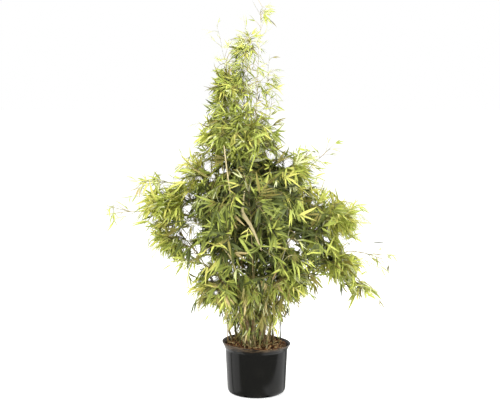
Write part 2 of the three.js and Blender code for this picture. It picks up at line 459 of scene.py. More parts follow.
def potFinish():
    finish = Finish("pot_plastic", roughness=0.3, specular=0.35)
    height = finish.node("ShaderNodeSeparateXYZ", {}, {0: finish.place()}, 2)
    cloud = finish.grain(14.0, 5.0)
    scuff = finish.grain(40.0, 6.0, None, (1.0, 1.0, 5.0))
    nearFoot = 1 - finish.band(height, 0.0, 0.05)
    nearRim = finish.band(height, soilLevel - 0.006, soilLevel + 0.006)
    dust = finish.band(cloud + 0.25 * nearFoot, 0.55, 0.85) * 0.3
    plain = finish.blend(dust, sRgb(16, 16, 14), sRgb(36, 34, 29))
    earth = nearRim * finish.band(scuff, 0.36, 0.6)
    finish.feed("Base Color", finish.blend(earth, plain, sRgb(86, 68, 44)))
    finish.feed("Roughness", 0.06 + 0.1 * cloud + 0.4 * earth)
    finish.bump(finish.grain(420.0, 2.0) + 2.0 * scuff, 0.12, 0.0004)
    return finish.material


def soilFinish():
    finish = Finish("soil_compost", roughness=0.95, specular=0.2)
    crumbs = finish.grain(160.0, 6.0)
    patches = finish.grain(24.0, 4.0)
    stops = [(0.3, sRgb(34, 21, 10)), (0.52, sRgb(76, 52, 28)), (0.72, sRgb(120, 92, 58))]
    finish.feed("Base Color", finish.steps(0.6 * crumbs + 0.4 * patches, stops))
    finish.bump(crumbs, 0.9, 0.004)
    return finish.material


def plainFinish(name, tone, roughness=0.55, specular=0.35, sheen=0.0):
    finish = Finish(name, roughness, specular, sheen)
    finish.colour(sRgb(*tone))
    return finish.material


culmTones = {
    # a culm's skin, its skin while young, its bloom and its joints
    "culm_green": ((136, 140, 72), (206, 209, 186), (186, 184, 138), (92, 78, 44)),
    "culm_straw": ((164, 148, 94), (210, 208, 188), (196, 186, 142), (104, 80, 46)),
    "culm_olive": ((108, 102, 54), (202, 204, 184), (160, 154, 108), (64, 54, 34)),
}
leafTones = {
    "pale": (206, 210, 158),
    "yellow": (202, 199, 102),
    "lime": (190, 197, 94),
    "fresh": (163, 174, 80),
    "green": (128, 138, 62),
    "deep": (84, 94, 41),
    "shade": (56, 62, 25),
    "olive": (138, 130, 66),
    "straw": (196, 178, 122),
}
chipTones = {
    "chip_mid": (112, 78, 48),
    "chip_dark": (66, 44, 26),
    "chip_light": (158, 124, 86),
    "chip_red": (128, 84, 52),
    "chip_straw": (206, 184, 132),
}
twigTones = {
    "twig_green": (148, 148, 74),
    "twig_tan": (170, 150, 96),
    "twig_grey": (150, 146, 120),
    "twig_dark": (84, 74, 50),
}
sheathTones = {
    "sheath_pale": (196, 182, 138),
    "sheath_tan": (160, 136, 90),
    "sheath_brown": (108, 82, 50),
}


# templates, each modelled once

leafShape = {
    # share of the length, half width over the length, how far the middle rib is sunk
    "rows": [
        (0.0, 0.004, 0.0),
        (0.07, 0.028, 0.010),
        (0.28, 0.066, 0.022),
        (0.56, 0.054, 0.018),
        (0.82, 0.026, 0.008),
        (1.0, 0.0, 0.0),
    ],
    "kinds": [
        # droop at the tip, twist in degrees
        (0.10, 6.0),
        (0.22, -14.0),
        (0.36, 20.0),
    ],
}


def leafTemplate(shape, droop, twist):
    # A blade one unit long, pointing along +Y with its face up: folded along the rib, drooped, twisted.
    rows = shape["rows"]
    cells = len(rows) - 1
    deselectAll()
    bpy.ops.mesh.primitive_grid_add(x_subdivisions=2, y_subdivisions=cells, size=2)
    leaf = editStart("leaf")
    for i, (along, half, sunk) in enumerate(rows):
        level = -1 + 2 * i / cells
        pick(lambda co: abs(co.y - level) < 0.01 and abs(co.x) < 1.01 and co.z == 0)
        bpy.ops.transform.resize(value=(max(half, 1e-5), 1, 1), center_override=(0, level, 0))
        turn = math.radians(twist) * along
        bpy.ops.transform.rotate(value=-turn, orient_axis="Y", center_override=(0, level, 0))
        bpy.ops.transform.translate(value=(0, along + 4 - level, -droop * along**2))
        pick(lambda co: co.y > 3 and abs(co.y - along - 4) < 1e-4 and abs(co.x) < 1e-5)
        bpy.ops.transform.translate(value=(0, 0, -sunk))
    bpy.ops.mesh.select_all(action="SELECT")
    bpy.ops.transform.translate(value=(0, -4, 0))
    editEnd(2e-4)
    return takeTemplate(leaf)


internodeShape = {
    "sides": 8,
    "rings": [
        # share of the internode, radius over the culm's own
        (0.0, 0.97),
        (0.03, 1.14),
        (0.06, 1.2),
        (0.1, 1.0),
        (0.13, 0.96),
        (0.4, 1.0),
        (0.7, 1.0),
        (1.0, 0.98),
    ],
    "ringEnd": 0.13,  # where the joint's swollen ring ends
}


def internodeTemplate(shape):
    # A tube of unit radius from one joint to the next, with the joint's swollen ring at its foot.
    tube = ringTube("internode", shape)
    editEnd()
    return takeTemplate(tube)


sheathShape = {
    "sides": 8,
    "wall": 0.1,
    "rings": [(0.0, 1.08), (0.3, 1.16), (0.7, 1.18), (1.0, 1.4)],
    "slant": 0.4,
    "flare": 0.1,
}


def sheathTemplate(shape):
    # A papery sheath round a culm: an open tube with a slanting, flared mouth and a thin wall.
    sheath = ringTube("sheath", shape)
    pick(lambda co: co.z > 0.9 and co.x > 0.3)
    bpy.ops.transform.translate(value=(shape["flare"], 0, -shape["slant"]))
    editEnd()
    wall = sheath.modifiers.new("wall", "SOLIDIFY")
    wall.thickness = shape["wall"]
    wall.offset = 1
    applyModifiers(sheath)
    return takeTemplate(sheath)


chipShape = {"kinds": 3, "size": (1.0, 0.45, 0.2), "bevel": 0.07, "rough": 0.09}


def chipTemplate(shape, kind):
    # A flake of bark of unit length: a bevelled block, tapered at one end and roughened.
    deselectAll()
    bpy.ops.mesh.primitive_cube_add(size=1)
    chip = editStart("chip")
    bpy.ops.mesh.select_all(action="SELECT")
    bpy.ops.transform.resize(value=shape["size"], center_override=(0, 0, 0))
    pick(lambda co: co.x > 0)
    bpy.ops.transform.resize(value=(1, 0.55 + 0.2 * kind, 0.7), center_override=(0.5, 0.05 * kind, 0))
    bpy.ops.mesh.select_all(action="SELECT")
    bpy.ops.mesh.bevel(offset=shape["bevel"], segments=1, affect="EDGES")
    bpy.ops.transform.vertex_random(offset=shape["rough"], seed=kind + 1)
    editEnd()
    return takeTemplate(chip)


# culms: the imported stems' own lines, smoothed and jointed

culmPlan = {
    "samples": 90,
    "firstJoint": 0.022,
    "longest": 0.105,
    "growth": 1.33,
    "tipJoint": 0.05,
    "jointLength": 2.6,  # the length of a joint's swollen ring over the culm's radius
    "jointShare": 0.3,  # and the most it may be of the internode
    "zigzag": 0.0016,
    "thinner": 0.45,  # how much slimmer the culms are than packed near the top of the plant
    "thinnerFrom": 0.66,  # the share of the plant's height where that begins, and over how much it comes
    "thinnerOver": 0.2,
}


def stemLine(node):
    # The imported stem's rings, found by walking a merged copy up from its flat foot.
    edit = bmesh.new()
    edit.from_mesh(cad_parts[node].data)
    bmesh.ops.remove_doubles(edit, verts=edit.verts, dist=1e-5)
    foot = min(v.co.z for v in edit.verts)
    level = {v for v in edit.verts if v.co.z < foot + 2e-4}
    seen = set(level)
    rings = []
    while level:
        rings.append(np.array([v.co for v in level]))
        level = {e.other_vert(v) for v in level for e in v.link_edges} - seen
        seen |= level
    edit.free()
    rings = [r for r in rings if len(r) > 2]
    middles = np.array([(r.max(0) + r.min(0)) / 2 if len(r) < 5 else r.mean(0) for r in rings])
    radii = np.array([np.linalg.norm(r - m, axis=1).max() for r, m in zip(rings, middles)])
    return middles, radii


def smoothLine(points, values, samples):
    # A Catmull-Rom curve through the points, evenly sampled by length.
    padded = np.vstack([2 * points[0] - points[1], points, 2 * points[-1] - points[-2]])
    out, shares = [], []
    for i in range(len(points) - 1):
        a, b, c, d = padded[i : i + 4]
        for t in np.linspace(0, 1, 12, endpoint=False):
            bend = (2 * a - 5 * b + 4 * c - d) * t * t + (3 * b - 3 * c + d - a) * t**3
            out.append(0.5 * (2 * b + (c - a) * t + bend))
            shares.append(i + t)
    out.append(points[-1])
    shares.append(len(points) - 1)
    out = np.array(out)
    run = np.concatenate([[0], np.cumsum(np.linalg.norm(np.diff(out, axis=0), axis=1))])
    even = np.linspace(0, run[-1], samples)
    line = np.stack([np.interp(even, run, out[:, k]) for k in range(3)], 1)
    radius = np.interp(np.interp(even, run, shares), np.arange(len(values)), values)
    return line, radius, even


class Culm:
    # A culm's line with its length, radius, frames and joints.
    def __init__(self, name, line, radius, run, rng, plan):
        self.name = name
        self.line = line
        self.radius = radius
        self.run = run
        self.length = run[-1]
        self.way = unit(np.gradient(line, axis=0))
        side = unit(np.cross(self.way[0], (0.3, 1.0, 0.1)))
        sides = []
        for way in self.way:
            side = side - way * np.dot(side, way)
            side = side / np.linalg.norm(side)
            sides.append(side)
        self.side = np.array(sides)
        joints, step = [0.0], plan["firstJoint"] * rng.uniform(0.8, 1.3)
        while joints[-1] + step < self.length:
            joints.append(joints[-1] + step)
            share = joints[-1] / self.length
            step = min(step * plan["growth"], plan["longest"] * rng.uniform(0.85, 1.1))
            step = min(step, plan["longest"] + (plan["tipJoint"] - plan["longest"]) * share)
        joints[-1] = self.length
        self.joints = np.array(joints)
        shift = np.array([(-1) ** i for i in range(len(joints))]) * plan["zigzag"]
        shift[0] = 0
        self.line = self.line + self.side * np.interp(run, self.joints, shift)[:, None]

    def at(self, run):
        # Place, way, side and radius at these distances from the foot.
        def read(values):
            return np.stack([np.interp(run, self.run, values[:, k]) for k in range(3)], -1)

        radius = np.interp(run, self.run, self.radius)
        return read(self.line), unit(read(self.way)), unit(read(self.side)), radius

    def wrap(self, points, runs, spin=0.0):
        # Unit-radius points laid round the culm: x and y go across it, and runs says how far along each is.
        place, way, side, radius = self.at(runs)
        other = np.cross(way, side)
        x = points[:, 0] * math.cos(spin) - points[:, 1] * math.sin(spin)
        y = points[:, 0] * math.sin(spin) + points[:, 1] * math.cos(spin)
        return place + (side * x[:, None] + other * y[:, None]) * radius[:, None]


def culmArrays(culm, template, shape, plan):
    # The template between every two joints. Rings that meet are merged afterwards.
    points, corners, counts = template
    ringEnd = shape["ringEnd"]
    groups, marks = [], []
    for i in range(len(culm.joints) - 1):
        low, high = culm.joints[i], culm.joints[i + 1]
        radius = np.interp(low, culm.run, culm.radius)
        ring = min(plan["jointLength"] * radius, plan["jointShare"] * (high - low))
        z = points[:, 2]
        above = (z - ringEnd) / (1 - ringEnd) * (high - low - ring)
        runs = np.where(z < ringEnd, low + z / ringEnd * ring, low + ring + above)
        groups.append((culm.wrap(points, runs), corners, counts))
        marks.append(i + np.clip((runs - low) / (high - low), 0, 0.995))
    return joined(groups), np.concatenate(marks)


def closeEnds(piece):
    activate(piece)
    bpy.ops.object.mode_set(mode="EDIT")
    bpy.ops.mesh.select_all(action="SELECT")
    bpy.ops.mesh.remove_doubles(threshold=2e-4)
    bpy.ops.mesh.fill_holes(sides=12)
    bpy.ops.mesh.select_all(action="SELECT")
    bpy.ops.mesh.normals_make_consistent(inside=False)
    bpy.ops.object.mode_set(mode="OBJECT")


def markCulm(piece, marks, sides):
    # The culm map: u runs round it and v counts its joints.
    mesh = piece.data
    layer = mesh.uv_layers.new(name="culm")
    corners = np.zeros(len(mesh.loops), int)
    mesh.loops.foreach_get("vertex_index", corners)
    around = (corners % sides) / sides
    layer.data.foreach_set("uv", np.stack([around, marks[corners]], 1).astype(np.float32).ravel())


def makeCulms(culms, template, shape, plan, finishes):
    for i, culm in enumerate(culms):
        arrays, marks = culmArrays(culm, template, shape, plan)
        name = culm.name.replace("stem_", "culm_")
        piece = pieceFromArrays(name, *arrays, [finishes[i % len(finishes)]])
        markCulm(piece, marks, shape["sides"])
        closeEnds(piece)
        handOver(piece, "stem", culm.name)


# shoots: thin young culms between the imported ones, from the same soil

shootPlan = {"count": 34, "spread": 0.024, "length": (0.22, 0.8), "thin": (0.3, 0.55), "lean": 0.09}


def growShoots(culms, plan, culmPlan, rng):
    shoots = []
    for i in range(plan["count"]):
        parent = culms[rng.integers(len(culms))]
        share = rng.uniform(*plan["length"])
        keep = max(12, int(len(parent.line) * share))
        line = parent.line[:keep].copy()
        angle = rng.uniform(0, 2 * math.pi)
        foot = np.array([math.cos(angle), math.sin(angle), 0]) * plan["spread"] * rng.uniform(0.4, 1.4)
        start = line[0] + foot
        reach = np.hypot(start[0], start[1]) / (0.8 * soilHigh.x)
        if reach > 1:
            foot = foot - np.array([start[0], start[1], 0]) * (1 - 1 / reach)
        t = np.linspace(0, 1, keep)[:, None]
        lean = np.array([rng.normal(), rng.normal(), 0]) * plan["lean"] * share
        line = line + foot + lean * t**1.6
        radius = parent.radius[:keep] * rng.uniform(*plan["thin"]) * (1 - 0.6 * t[:, 0])
        run = np.concatenate([[0], np.cumsum(np.linalg.norm(np.diff(line, axis=0), axis=1))])
        shoots.append(Culm("shoot_%02d" % i, line, radius, run, rng, culmPlan))
    return shoots


def makeShoots(shoots, template, shape, plan, finish):
    groups, marks = [], []
    for shoot in shoots:
        arrays, mark = culmArrays(shoot, template, shape, plan)
        groups.append(arrays)
        marks.append(mark)
    piece = pieceFromArrays("shoots", *joined(groups), [finish])
    markCulm(piece, np.concatenate(marks), shape["sides"])
    closeEnds(piece)
    handOver(piece, "stem")


sheathPlan = {"highest": 0.62, "share": 0.62, "length": (0.5, 0.95), "longest": 0.06}


def makeSheaths(culms, template, plan, rng):
    # Dry sheaths that still clasp the lower joints.
    points, corners, counts = template
    groups, deal = [], []
    for culm in culms:
        for low, high in zip(culm.joints[:-1], culm.joints[1:]):
            place = culm.at(low)[0]
            if place[2] > plan["highest"] * plantHeight or rng.random() > plan["share"]:
                continue
            length = min((high - low) * rng.uniform(*plan["length"]), plan["longest"])
            runs = low + points[:, 2] * length
            groups.append((culm.wrap(points, runs, rng.uniform(0, 6.28)), corners, counts))
            nearFoot = place[2] < soilLevel + 0.14
            tone = rng.choice(3, p=(0.12, 0.33, 0.55) if nearFoot else (0.25, 0.45, 0.3))
            deal.append(np.full(len(counts), tone))
    arrays = joined(groups)
    materials = [plainFinish(name, tone, 0.7, 0.25, 0.1) for name, tone in sheathTones.items()]
    piece = pieceFromArrays("sheaths", *arrays, materials, np.concatenate(deal))
    handOver(piece, "stem")


def tubes(paths, radii, sides):
    # Many thin closed tubes at once. paths is (tubes, points, 3) and radii (tubes, points).
    many, steps = paths.shape[:2]
    way = unit(np.gradient(paths, axis=1))
    mean = unit(way.mean(1))
    axis = np.eye(3)[np.abs(mean).argmin(1)]
    side = unit(axis[:, None, :] - way * dot(way, axis[:, None, :]))
    other = np.cross(way, side)
    turn = np.arange(sides) / sides * 2 * math.pi
    ring = side[:, :, None] * np.cos(turn)[:, None] + other[:, :, None] * np.sin(turn)[:, None]
    points = paths[:, :, None] + ring * radii[:, :, None, None]
    index = np.arange(steps * sides).reshape(steps, sides)
    nextTo = np.roll(index, -1, 1)
    quads = np.stack([index[:-1], nextTo[:-1], nextTo[1:], index[1:]], -1).reshape(-1)
    corners = np.concatenate([quads, index[0][::-1], index[-1]])
    counts = np.concatenate([np.full((steps - 1) * sides, 4), [sides, sides]])
    return copies((None, corners, counts), points.reshape(many, steps * sides, 3))


# dry canes: a kinked old sheath before the dark middle, an old pale culm above it, and thin dead stems

caneSides = 6
canes = {
    # points across and up, as shares of the plant's height from the camera's line; the depth of the first
    # and the last point
    "cane_kinked": {
        "line": [
            (-0.014, 0.524),
            (-0.016, 0.507),
            (-0.018, 0.491),
            (-0.020, 0.473),
            (-0.015, 0.460),
            (0.000, 0.439),
            (0.015, 0.408),
            (0.022, 0.390),
            (0.029, 0.371),
        ],
        "thick": [0.0026, 0.003, 0.0042, 0.0066, 0.0086, 0.0072, 0.0052, 0.0038, 0.0016],
        "depth": (-0.25, -0.26),
        "tone": "sheath_pale",
    },
    "cane_old": {
        "line": [(-0.066, 0.640), (-0.064, 0.619), (-0.059, 0.580), (-0.052, 0.530), (-0.049, 0.505)],
        "thick": [0.0018, 0.0024, 0.0026, 0.0026, 0.002],
        "depth": (-0.16, -0.2),
        "tone": "sheath_pale",
    },
    "cane_dark": {
        "line": [(0.078, 0.128), (0.080, 0.160), (0.080, 0.205), (0.077, 0.245)],
        "thick": [0.0028, 0.0026, 0.0024, 0.0018],
        "depth": (0.05, 0.05),
        "tone": "sheath_dark",
    },
    "cane_left": {
        "line": [(-0.056, 0.126), (-0.058, 0.150), (-0.059, 0.185)],
        "thick": [0.0026, 0.0022, 0.0016],
        "depth": (0.0, 0.0),
        "tone": "sheath_tan",
    },
}


def makeCanes(canes):
    groups, deal = [], []
    tones = {**sheathTones, "sheath_dark": (46, 44, 28)}
    for cane in canes.values():
        across, up = np.array(cane["line"]).T * plantHeight
        depth = np.linspace(*cane["depth"], len(across))
        nearer = 1 + depth / view["distance"]
        x = view["across"] + across * nearer
        z = view["height"] + (up - view["height"]) * nearer
        place = np.stack([x, depth, z], 1)
        run = np.linspace(0, 1, len(x))
        fine = np.linspace(0, 1, 4 * len(x))
        line = np.stack([np.interp(fine, run, place[:, i]) for i in range(3)], 1)
        groups.append(tubes(line[None], np.interp(fine, run, cane["thick"])[None], caneSides))
        deal.append(np.full(len(groups[-1][2]), list(tones).index(cane["tone"])))
    materials = [plainFinish("dry_" + name, tone, 0.7, 0.25) for name, tone in tones.items()]
    piece = pieceFromArrays("canes", *joined(groups), materials, np.concatenate(deal))
    handOver(piece, "stem")


# boughs, twigs and sprays

def insideOf(tree, points):
    # Which points lie inside a closed mesh, by counting the faces above each.
    up = Vector((0, 0, 1))
    inside = []
    for p in points:
        start, hits = Vector(p), 0
        while hits < 40:
            place = tree.ray_cast(start, up)[0]
            if place is None:
                break
            hits += 1
            start = place + up * 1e-6
        inside.append(hits % 2 == 1)
    return np.array(inside)


def nodeTree(nodes):
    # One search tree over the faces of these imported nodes.
    points, faces = [], []
    for name in nodes:
        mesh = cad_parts[name].data
        start = len(points)
        points.extend(tuple(v.co) for v in mesh.vertices)
        faces.extend([start + i for i in p.vertices] for p in mesh.polygons)
    return BVHTree.FromPolygons(points, faces)


massTrees = {name: nodeTree(["foliage_" + name]) for name in massNames}
crownTree = nodeTree(["foliage_" + name for name in massNames])


growthParts = ("sprays", "leaf", "droop", "tones")
growth = {
    # how many sprays, their leaves' mean length, droop, tones
    "tip": (6, 0.036, 0.1, "spire"),
    "wisp_left": (3, 0.030, 0.2, "spire"),
    "wisp_right": (12, 0.036, 0.2, "spire"),
    "spire_top": (90, 0.034, 0.05, "spire"),
    "spire_middle": (270, 0.044, 0.2, "upper"),
    "spire_foot": (480, 0.052, 0.3, "upper"),
    "left_arm": (13, 0.050, 0.15, "lobe"),
    "right_arm": (36, 0.062, 0.5, "lobe"),
    "shoulder_left": (120, 0.056, 0.3, "lobe"),
    "shoulder_right": (160, 0.056, 0.3, "lobe"),
    "left_high": (175, 0.062, 0.35, "lobe"),
    "right_high": (240, 0.062, 0.35, "sunny"),
    "front": (260, 0.064, 0.4, "middle"),
    "back": (400, 0.064, 0.4, "middle"),
    "heart": (520, 0.06, 0.35, "heart"),
    "left_low": (185, 0.062, 0.4, "lobe"),
    "right_low": (205, 0.062, 0.4, "lobe"),
    "skirt_left": (320, 0.056, 0.5, "skirt"),
    "skirt_right": (320, 0.056, 0.5, "skirt"),
    "far_left": (5, 0.045, 0.3, "lobe"),
    "far_right": (3, 0.045, 0.4, "lobe"),
}
bridges = {
    # sprays between a mass and the neighbours that it should run into
    "front": {
        "spire_foot": 90, "shoulder_left": 45, "shoulder_right": 45, "heart": 60, "left_high": 45,
        "left_low": 50, "right_high": 50, "right_low": 50, "skirt_left": 40, "skirt_right": 40,
    },
    "back": {
        "spire_foot": 110, "shoulder_left": 55, "shoulder_right": 55, "heart": 60, "left_high": 55,
        "left_low": 55, "right_high": 55, "right_low": 55, "skirt_left": 50, "skirt_right": 50,
    },
    "heart": {
        "back": 90, "spire_foot": 110, "shoulder_left": 80, "shoulder_right": 90, "left_high": 40,
        "right_high": 60, "right_low": 60, "left_low": 40, "skirt_left": 120, "skirt_right": 120,
    },
    "spire_middle": {"spire_top": 14, "spire_foot": 60},
    "left_high": {"left_arm": 10, "shoulder_left": 30},
    "right_high": {"shoulder_right": 40, "right_low": 40},
    "right_low": {"right_arm": 16, "skirt_right": 36},
    "left_low": {"skirt_left": 30},
    "skirt_left": {"skirt_right": 90},
}
footPlan = {
    # sprays that hang round the foot of the culms, on short twigs
    "sprays": 600,
    "low": 0.262,
    "high": 0.45,
    "towardsTop": 0.75,  # under 1 puts more of them high up
    "middle": -0.012,  # they keep to a funnel: where it stands, its half width, and how that grows
    "narrow": 0.038,
    "widen": 0.23,
    "reach": (0.022, 0.15),
    "flat": (0.75, 1, 1),
    "sag": (-0.3, 0.35),
    "upward": 0.7,
    "lift": 0.25,
    "depth": 0.04,
    "leaf": 0.04,
    "leaves": (3, 6),
    "droop": 0.85,
    "tones": "foot",
}
# Where the sky shows through the crown, as shares of the plant's width and height, with a half width and
# half height in metres.
skyHoles = [
    (0.285, 0.511, 0.012, 0.012), (0.278, 0.480, 0.013, 0.020), (0.299, 0.444, 0.013, 0.016),
    (0.312, 0.428, 0.012, 0.014), (0.258, 0.411, 0.012, 0.022), (0.275, 0.390, 0.014, 0.012),
    (0.303, 0.369, 0.014, 0.012), (0.333, 0.345, 0.013, 0.014), (0.320, 0.328, 0.014, 0.010),
    (0.368, 0.297, 0.016, 0.014), (0.378, 0.264, 0.013, 0.012), (0.344, 0.585, 0.013, 0.012),
    (0.400, 0.577, 0.011, 0.010), (0.320, 0.560, 0.014, 0.009), (0.366, 0.556, 0.014, 0.008),
    (0.632, 0.392, 0.014, 0.018), (0.656, 0.377, 0.013, 0.010), (0.758, 0.397, 0.011, 0.010),
    (0.804, 0.402, 0.012, 0.011), (0.842, 0.394, 0.016, 0.014), (0.824, 0.372, 0.012, 0.014),
    (0.563, 0.615, 0.014, 0.011), (0.624, 0.598, 0.014, 0.016), (0.588, 0.252, 0.009, 0.013),
    (0.740, 0.300, 0.014, 0.008), (0.352, 0.215, 0.014, 0.012), (0.372, 0.196, 0.012, 0.012),
]
skyWiden = 1.25  # a leaf's own width closes an opening a little
clearings = [
    # across, up, half width and half height as above, cleared in front of this depth, share kept
    (0.555, 0.405, 0.13, 0.15, -0.1, 0.22),
    (0.415, 0.565, 0.03, 0.11, -0.16, 0.1),
    (0.48, 0.45, 0.05, 0.13, -0.16, 0.05),
    (0.69, 0.58, 0.055, 0.075, 1.0, 0.25),
    (0.66, 0.64, 0.06, 0.05, 1.0, 0.4),
    (0.72, 0.52, 0.06, 0.035, 1.0, 0.3),
    (0.20, 0.52, 0.06, 0.035, 1.0, 0.4),
]
porosity = {
    # the outside of the crown is broken up where a slow noise of this scale is low
    "scale": 13.0,
    "below": -0.14,
    "depth": 0.08,
    "lost": 0.6,
    "spire": 1.1,  # over this height it is broken up more, but not within this far of the spire's line
    "spireLine": -0.055,
    "spireHalf": 0.06,
    "spireBelow": 0.06,
    "lineBelow": -0.5,
}
tipParts = ("bare", "space", "reach", "leaf", "droop", "tones", "leaves")
tipPlan = {
    # the culms' own short twigs: which share of the culm is bare, the space between two twigs,
    # how far they reach, and their leaves' length, droop, tones and number
    "spire": (0.52, 0.018, (0.012, 0.05), 0.036, -0.05, "spire", (2, 4)),
    "wisp": (0.6, 0.030, (0.01, 0.045), 0.032, -0.05, "spire", (2, 4)),
    "rear": (0.6, 0.022, (0.012, 0.05), 0.040, 0.05, "spire", (2, 4)),
    "shoulder": (0.72, 0.02, (0.012, 0.05), 0.044, 0.1, "lobe", (2, 4)),
    "arch": (0.8, 0.024, (0.012, 0.045), 0.048, 0.2, "lobe", (2, 4)),
}
whipPlan = {
    # long thin twigs that hang out past the crown, and how many leave each mass
    "reach": (0.05, 0.11),
    "further": 1.3,
    "inset": 0.04,
    "margin": 0.01,
    "lift": 0.1,
    "leaf": 0.036,
    "leaves": (5, 9),
    "droop": 0.3,
    "tones": "lobe",
    "from": {
        "left_high": 12, "left_low": 12, "right_high": 14, "right_low": 10, "shoulder_left": 8,
        "shoulder_right": 10, "spire_foot": 12, "skirt_left": 8, "skirt_right": 8, "front": 10, "back": 12,
    },
}
toneShares = {
    # the share of each leaf tone, in the order of leafTones. The darker sets for the inside of the crown
    # are painted shade.
    "spire": (0.40, 0.10, 0.16, 0.16, 0.06, 0.00, 0.00, 0.10, 0.02),
    "upper": (0.09, 0.10, 0.20, 0.27, 0.17, 0.06, 0.00, 0.09, 0.02),
    "lobe": (0.13, 0.22, 0.38, 0.19, 0.03, 0.00, 0.00, 0.04, 0.01),
    "sunny": (0.12, 0.36, 0.34, 0.12, 0.02, 0.00, 0.00, 0.03, 0.01),
    # painted shade: a darker set for the leaves inside a lobe
    "lobeShaded": (0.05, 0.10, 0.24, 0.32, 0.16, 0.05, 0.00, 0.07, 0.01),
    # painted shade: darker sets for the crown's shaded middle and heart
    "middle": (0.01, 0.02, 0.07, 0.19, 0.29, 0.28, 0.08, 0.05, 0.01),
    "heart": (0.00, 0.01, 0.02, 0.05, 0.14, 0.35, 0.37, 0.05, 0.01),
    "skirt": (0.04, 0.10, 0.17, 0.20, 0.15, 0.08, 0.02, 0.18, 0.06),
    "foot": (0.06, 0.14, 0.13, 0.14, 0.11, 0.07, 0.03, 0.22, 0.10),
}
shadedTones = {
    # painted shade: the darker tones that leaves deep inside the crown take in place of its own shadow, and
    # for any other: heart
    "sunny": "lobe",
    "spire": "lobeShaded",
    "upper": "lobeShaded",
    "lobe": "lobeShaded",
    "skirt": "lobeShaded",
    "foot": "foot",
}
seatPlan = {"tries": 5, "space": 0.62, "jitter": (0.5, 1.2), "inset": 1.15, "most": 0.6, "raised": 0.2}
boughPlan = {
    "seatsToBough": 8,
    "points": 9,
    "forward": 0.6,
    "lift": 0.12,
    "thick": 0.0016,
    "thin": 0.0008,
    "sides": 4,
}
twigPlan = {
    "points": 6,
    "forward": 0.45,
    "lift": 0.1,
    "past": 0.03,  # how far a twig's end stands past its seat, and how much its way out varies
    "stray": 0.45,
    "longest": 0.2,
    "thick": 0.0009,
    "thin": 0.0005,
    "sides": 3,
    "tones": (0.42, 0.3, 0.2, 0.08),  # shares of the twig tones
}
sprayPlan = {
    "leaves": (3, 7),
    "reach": 0.34,  # how far back along the twig its leaves start, as a share of it
    "open": (8, 44),  # degrees between the twig and a leaf
    "first": 0.25,  # how much of that the twig's last leaf has
    "out": 0.75,  # how leaves face: out, up, and any way
    "up": 0.65,
    "anyWay": 0.4,
    "sag": (0.4, 1.5),
    "sway": 0.2,
    "roll": 0.35,
    "length": (1, 0.2, 0.55, 1.5),  # mean, spread, least and most, over the plan's own length
    "width": (1, 0.14, 0.7, 1.4),
    "deepFrom": 0.05,  # where the tones start to turn into the darker painted shade ones, and over how much
    "deepOver": 0.15,
    "oddLeaf": 0.18,  # share of leaves that take a neighbouring tone
    "few": 30,  # a mass with this few sprays keeps them all
    "tooDeep": 0.17,
    "keepDeep": 0.55,
    "outOfBox": 0.006,
}
plantLine = -0.02  # where the middle of the plant stands across
farOut = 1.2  # a point outside the crown whichever way it lies


def inCrown(points):
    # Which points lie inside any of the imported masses.
    inside = np.zeros(len(points), bool)
    for name, tree in massTrees.items():
        low, high = (np.array(c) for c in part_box("foliage_" + name))
        near = ((points > low) & (points < high)).all(1) & ~inside
        if near.any():
            inside[near] = insideOf(tree, points[near])
    return inside


def seatsIn(mass, count, inset, rng):
    # Points spread through a mass, no two close together. Near the outside of the whole crown they are
    # drawn in, so that their leaves have room.
    low, high = (np.array(c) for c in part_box("foliage_" + mass))
    tries = rng.uniform(low, high, (count * seatPlan["tries"], 3))
    tries = tries[insideOf(massTrees[mass], tries)]
    chosen = tries[:1]
    space = seatPlan["space"] * (np.prod(high - low) * 0.5 / count) ** (1 / 3)
    for p in tries[1:]:
        if len(chosen) >= count:
            break
        if np.linalg.norm(chosen - p, axis=1).min() > space * rng.uniform(*seatPlan["jitter"]):
            chosen = np.vstack([chosen, p])
    middle, half = (low + high) / 2, (high - low) / 2
    away = unit((chosen - middle) / half)
    room = np.minimum(inset, seatPlan["most"] * half.min())
    outside = ~inCrown(chosen + away * room)
    return chosen - away * room * outside[:, None] + (0, 0, seatPlan["raised"] * inset)


def bridgeSeats(first, second, count, rng):
    # Points between two masses, so that they run into one another.
    a = rng.permutation(seatsIn(first, count, 0.03, rng))
    b = rng.permutation(seatsIn(second, count, 0.03, rng))
    many = min(len(a), len(b))
    share = rng.uniform(0.25, 0.75, (many, 1))
    return a[:many] * (1 - share) + b[:many] * share


def growFoot(culms, plan, rng):
    # Short twigs off the lowest part of the culms, fewer towards the left and right edges of the pot.
    paths, outward = [], []
    for i in rng.integers(0, len(culms), plan["sprays"]):
        up = rng.uniform(0, 1) ** plan["towardsTop"]
        height = plan["low"] + (plan["high"] - plan["low"]) * up
        start = culms[i].line[np.abs(culms[i].line[:, 2] - height).argmin()]
        if abs(start[0] - plan["middle"]) > plan["narrow"] + plan["widen"] * up:
            continue
        turn = rng.uniform(0, 2 * math.pi)
        off = np.array([math.cos(turn), math.sin(turn), 0.0])
        least, most = plan["reach"]
        reach = (least + (most - least) * up) * rng.uniform(0.3, 1)
        end = start + off * reach * plan["flat"] + (0, 0, rng.uniform(*plan["sag"]) * reach)
        way = unit(off + np.array([0, 0, plan["upward"]]))
        paths.append(curvedPaths(start[None], way[None], end[None], plan["lift"], twigPlan["points"])[0])
        outward.append(off)
    return np.array(paths), np.array(outward)


def openTo(points):
    # Which points stand in front of or behind a place where the sky shows.
    lens = np.array((view["across"], -view["distance"], view["height"]))
    share = view["distance"] / (points[:, 1] - lens[1])
    x = lens[0] + (points[:, 0] - lens[0]) * share
    z = lens[2] + (points[:, 2] - lens[2]) * share
    low, high = cadBox
    isOpen = np.zeros(len(points), bool)
    for across, up, halfX, halfZ in skyHoles:
        middleX, middleZ = low.x + across * (high.x - low.x), up * high.z
        isOpen |= ((x - middleX) / halfX) ** 2 + ((z - middleZ) / halfZ) ** 2 < skyWiden**2
    return isOpen


